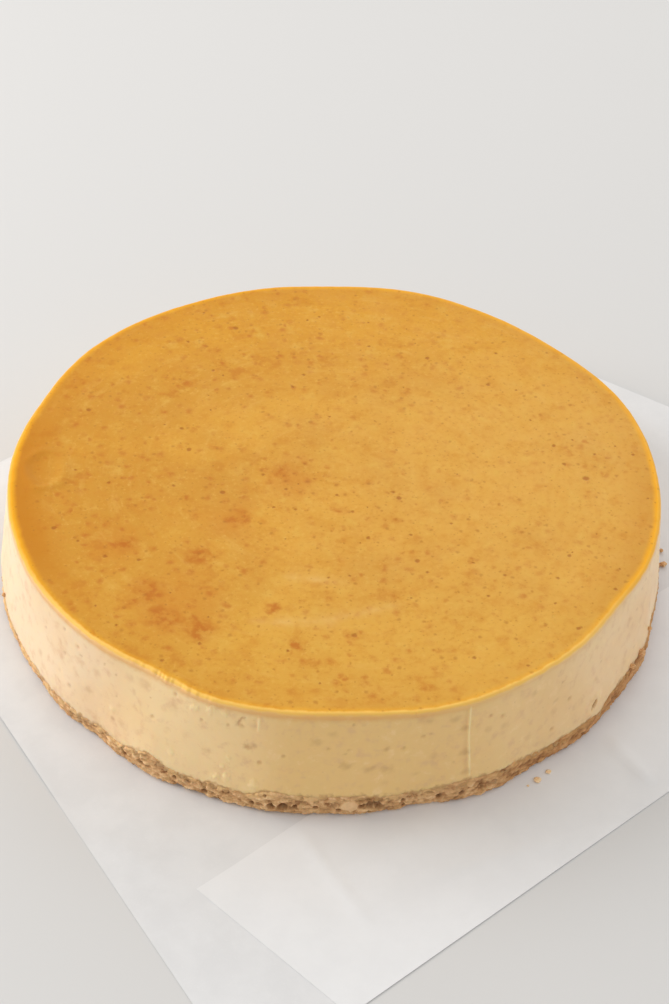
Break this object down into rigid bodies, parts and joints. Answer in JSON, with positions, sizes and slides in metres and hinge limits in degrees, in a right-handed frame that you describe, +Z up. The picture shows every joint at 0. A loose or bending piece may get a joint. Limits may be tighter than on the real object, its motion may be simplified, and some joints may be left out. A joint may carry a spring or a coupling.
{
  "type": "pumpkin cheesecake on baking parchment",
  "caption": "Round baked pumpkin cheesecake with a crumb crust and a browned top, standing on a torn parchment sheet with a strip under its edge.",
  "frame": {"origin": "on the cake's axis, at the underside of the parchment sheet", "axes": "+Z up along the cake's axis; +X to the right and +Y away from someone facing the cake's front"},
  "size_m": [0.3808, 0.3712, 0.042],
  "materials": {
    "parchment": "matt off-white baking parchment with a faint silicone sheen and soft creases",
    "biscuit_crumb": "dry, rough pressed biscuit crumb, brown, with darker and paler grains",
    "pumpkin_custard": "smooth moist cream to tan custard with fine spice specks and small pits",
    "browned_custard": "satin golden-orange baked skin with darker patches and dark specks"
  },
  "bodies": {
    "sheet": {"parchment_sheet": "parchment", "sheet_crumb_1": "biscuit_crumb", "sheet_crumb_2": "biscuit_crumb", "sheet_crumb_3": "biscuit_crumb", "sheet_crumb_4": "biscuit_crumb", "sheet_crumb_5": "biscuit_crumb", "sheet_crumb_6": "biscuit_crumb"},
    "strip": {"parchment_strip": "parchment", "strip_crumb_1": "biscuit_crumb", "strip_crumb_2": "biscuit_crumb", "strip_crumb_3": "biscuit_crumb"},
    "cake": {"crumb_crust": "biscuit_crumb", "filling": "pumpkin_custard", "baked_top": "browned_custard", "clinging_crumb_1": "biscuit_crumb", "clinging_crumb_2": "biscuit_crumb", "clinging_crumb_3": "biscuit_crumb", "clinging_crumb_4": "biscuit_crumb"}
  },
  "joints": [
    {"name": "cake_lift", "type": "slide", "parent": "sheet", "child": "cake", "axis": [0, 0, 1], "range_m": [0, 0.08]},
    {"name": "strip_pull", "type": "slide", "parent": "sheet", "child": "strip", "axis": [0.6561, -0.7547, 0], "range_m": [0, 0.045]}
  ]
}
